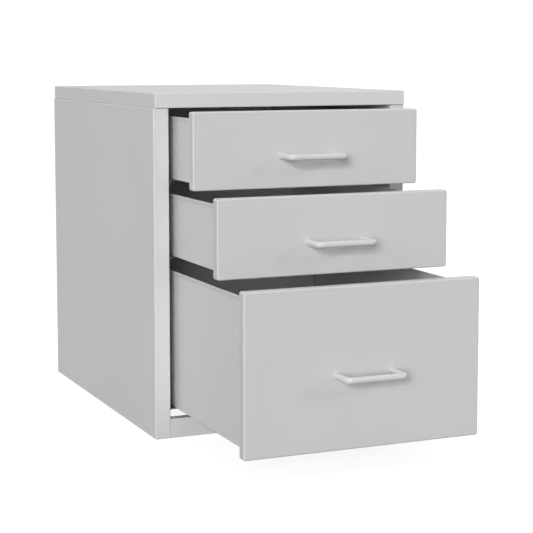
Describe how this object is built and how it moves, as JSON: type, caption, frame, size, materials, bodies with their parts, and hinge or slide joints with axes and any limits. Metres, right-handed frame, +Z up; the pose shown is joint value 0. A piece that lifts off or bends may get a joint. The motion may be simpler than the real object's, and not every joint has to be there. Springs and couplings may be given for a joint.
{
  "type": "pedestal cabinet",
  "caption": "Steel under-desk pedestal cabinet: a folded body with a skirted top, two shallow drawers over a file drawer on roller runners, each with a bow handle.",
  "frame": {"origin": "on the floor, at the centre of the body's footprint, midway between the four stem holes of the base", "axes": "+Z up, -Y towards the user in front of the drawers, +X to the user's right; the drawers pull out along -Y"},
  "size_m": [0.46, 0.9429, 0.572],
  "materials": {
    "body_paint": "light grey powder coat, satin, fine orange peel",
    "front_paint": "light grey powder coat, satin, fine orange peel",
    "box_paint": "light grey powder coat, satin",
    "handle_paint": "light grey powder coat, slightly glossier",
    "runner_zinc": "zinc-plated steel sheet",
    "fastener_steel": "zinc-plated screws, rivets and pins",
    "roller_nylon": "moulded natural nylon",
    "buffer_rubber": "moulded black rubber"
  },
  "bodies": {
    "cabinet": {"back_panel": "body_paint", "back_rivets": "fastener_steel", "base_brackets": "runner_zinc", "base_nuts": "fastener_steel", "drawer_1_runner_left": "runner_zinc", "drawer_1_runner_right": "runner_zinc", "drawer_2_runner_left": "runner_zinc", "drawer_2_runner_right": "runner_zinc", "drawer_3_runner_left": "runner_zinc", "drawer_3_runner_right": "runner_zinc", "front_base_rail": "body_paint", "front_roller_pins": "fastener_steel", "guide_buttons": "roller_nylon", "left_rear_upright": "body_paint", "left_side_panel": "body_paint", "rear_buffers": "buffer_rubber", "right_rear_upright": "body_paint", "right_side_panel": "body_paint", "runner_screws": "fastener_steel", "top_panel": "body_paint", "top_screws": "fastener_steel"},
    "drawer_1": {"drawer_1_back": "box_paint", "drawer_1_front": "front_paint", "drawer_1_handle": "handle_paint", "drawer_1_handle_screws": "fastener_steel", "drawer_1_inner_front": "box_paint", "drawer_1_rear_bracket_left": "runner_zinc", "drawer_1_rear_bracket_right": "runner_zinc", "drawer_1_roller_pins": "fastener_steel", "drawer_1_tray": "box_paint"},
    "drawer_1_front_roller_left": {"drawer_1_front_roller_left": "roller_nylon"},
    "drawer_1_front_roller_right": {"drawer_1_front_roller_right": "roller_nylon"},
    "drawer_1_rear_roller_left": {"drawer_1_rear_roller_left": "roller_nylon"},
    "drawer_1_rear_roller_right": {"drawer_1_rear_roller_right": "roller_nylon"},
    "drawer_2": {"drawer_2_back": "box_paint", "drawer_2_front": "front_paint", "drawer_2_handle": "handle_paint", "drawer_2_handle_screws": "fastener_steel", "drawer_2_inner_front": "box_paint", "drawer_2_rear_bracket_left": "runner_zinc", "drawer_2_rear_bracket_right": "runner_zinc", "drawer_2_roller_pins": "fastener_steel", "drawer_2_tray": "box_paint"},
    "drawer_2_front_roller_left": {"drawer_2_front_roller_left": "roller_nylon"},
    "drawer_2_front_roller_right": {"drawer_2_front_roller_right": "roller_nylon"},
    "drawer_2_rear_roller_left": {"drawer_2_rear_roller_left": "roller_nylon"},
    "drawer_2_rear_roller_right": {"drawer_2_rear_roller_right": "roller_nylon"},
    "drawer_3": {"drawer_3_back": "box_paint", "drawer_3_front": "front_paint", "drawer_3_handle": "handle_paint", "drawer_3_handle_screws": "fastener_steel", "drawer_3_inner_front": "box_paint", "drawer_3_rear_bracket_left": "runner_zinc", "drawer_3_rear_bracket_right": "runner_zinc", "drawer_3_roller_pins": "fastener_steel", "drawer_3_tray": "box_paint"},
    "drawer_3_front_roller_left": {"drawer_3_front_roller_left": "roller_nylon"},
    "drawer_3_front_roller_right": {"drawer_3_front_roller_right": "roller_nylon"},
    "drawer_3_rear_roller_left": {"drawer_3_rear_roller_left": "roller_nylon"},
    "drawer_3_rear_roller_right": {"drawer_3_rear_roller_right": "roller_nylon"}
  },
  "joints": [
    {"name": "drawer_1_slide", "type": "slide", "parent": "cabinet", "child": "drawer_1", "axis": [0, -1, 0], "range_m": [-0.101, 0.319]},
    {"name": "drawer_1_front_roller_left_turn", "type": "hinge", "parent": "cabinet", "child": "drawer_1_front_roller_left", "pos_m": [-0.18, -0.219, 0.42], "axis": [1, 0, 0], "continuous": true},
    {"name": "drawer_1_rear_roller_left_turn", "type": "hinge", "parent": "drawer_1", "child": "drawer_1_rear_roller_left", "pos_m": [-0.1937, 0.164, 0.4388], "axis": [1, 0, 0], "continuous": true},
    {"name": "drawer_1_front_roller_right_turn", "type": "hinge", "parent": "cabinet", "child": "drawer_1_front_roller_right", "pos_m": [0.18, -0.219, 0.42], "axis": [1, 0, 0], "continuous": true},
    {"name": "drawer_1_rear_roller_right_turn", "type": "hinge", "parent": "drawer_1", "child": "drawer_1_rear_roller_right", "pos_m": [0.1937, 0.164, 0.4388], "axis": [1, 0, 0], "continuous": true},
    {"name": "drawer_2_slide", "type": "slide", "parent": "cabinet", "child": "drawer_2", "axis": [0, -1, 0], "range_m": [-0.203, 0.217]},
    {"name": "drawer_2_front_roller_left_turn", "type": "hinge", "parent": "cabinet", "child": "drawer_2_front_roller_left", "pos_m": [-0.18, -0.219, 0.292], "axis": [1, 0, 0], "continuous": true},
    {"name": "drawer_2_rear_roller_left_turn", "type": "hinge", "parent": "drawer_2", "child": "drawer_2_rear_roller_left", "pos_m": [-0.1937, 0.062, 0.3108], "axis": [1, 0, 0], "continuous": true},
    {"name": "drawer_2_front_roller_right_turn", "type": "hinge", "parent": "cabinet", "child": "drawer_2_front_roller_right", "pos_m": [0.18, -0.219, 0.292], "axis": [1, 0, 0], "continuous": true},
    {"name": "drawer_2_rear_roller_right_turn", "type": "hinge", "parent": "drawer_2", "child": "drawer_2_rear_roller_right", "pos_m": [0.1937, 0.062, 0.3108], "axis": [1, 0, 0], "continuous": true},
    {"name": "drawer_3_slide", "type": "slide", "parent": "cabinet", "child": "drawer_3", "axis": [0, -1, 0], "range_m": [-0.306, 0.114]},
    {"name": "drawer_3_front_roller_left_turn", "type": "hinge", "parent": "cabinet", "child": "drawer_3_front_roller_left", "pos_m": [-0.18, -0.219, 0.037], "axis": [1, 0, 0], "continuous": true},
    {"name": "drawer_3_rear_roller_left_turn", "type": "hinge", "parent": "drawer_3", "child": "drawer_3_rear_roller_left", "pos_m": [-0.1937, -0.041, 0.0558], "axis": [1, 0, 0], "continuous": true},
    {"name": "drawer_3_front_roller_right_turn", "type": "hinge", "parent": "cabinet", "child": "drawer_3_front_roller_right", "pos_m": [0.18, -0.219, 0.037], "axis": [1, 0, 0], "continuous": true},
    {"name": "drawer_3_rear_roller_right_turn", "type": "hinge", "parent": "drawer_3", "child": "drawer_3_rear_roller_right", "pos_m": [0.1937, -0.041, 0.0558], "axis": [1, 0, 0], "continuous": true}
  ],
  "couplings": [
    {"joint": "drawer_1_front_roller_left_turn", "follows": "drawer_1_slide", "rad_per_m": 117.65},
    {"joint": "drawer_1_rear_roller_left_turn", "follows": "drawer_1_slide", "rad_per_m": 95.238},
    {"joint": "drawer_1_front_roller_right_turn", "follows": "drawer_1_slide", "rad_per_m": 117.65},
    {"joint": "drawer_1_rear_roller_right_turn", "follows": "drawer_1_slide", "rad_per_m": 95.238},
    {"joint": "drawer_2_front_roller_left_turn", "follows": "drawer_2_slide", "rad_per_m": 117.65},
    {"joint": "drawer_2_rear_roller_left_turn", "follows": "drawer_2_slide", "rad_per_m": 95.238},
    {"joint": "drawer_2_front_roller_right_turn", "follows": "drawer_2_slide", "rad_per_m": 117.65},
    {"joint": "drawer_2_rear_roller_right_turn", "follows": "drawer_2_slide", "rad_per_m": 95.238},
    {"joint": "drawer_3_front_roller_left_turn", "follows": "drawer_3_slide", "rad_per_m": 117.65},
    {"joint": "drawer_3_rear_roller_left_turn", "follows": "drawer_3_slide", "rad_per_m": 95.238},
    {"joint": "drawer_3_front_roller_right_turn", "follows": "drawer_3_slide", "rad_per_m": 117.65},
    {"joint": "drawer_3_rear_roller_right_turn", "follows": "drawer_3_slide", "rad_per_m": 95.238}
  ]
}
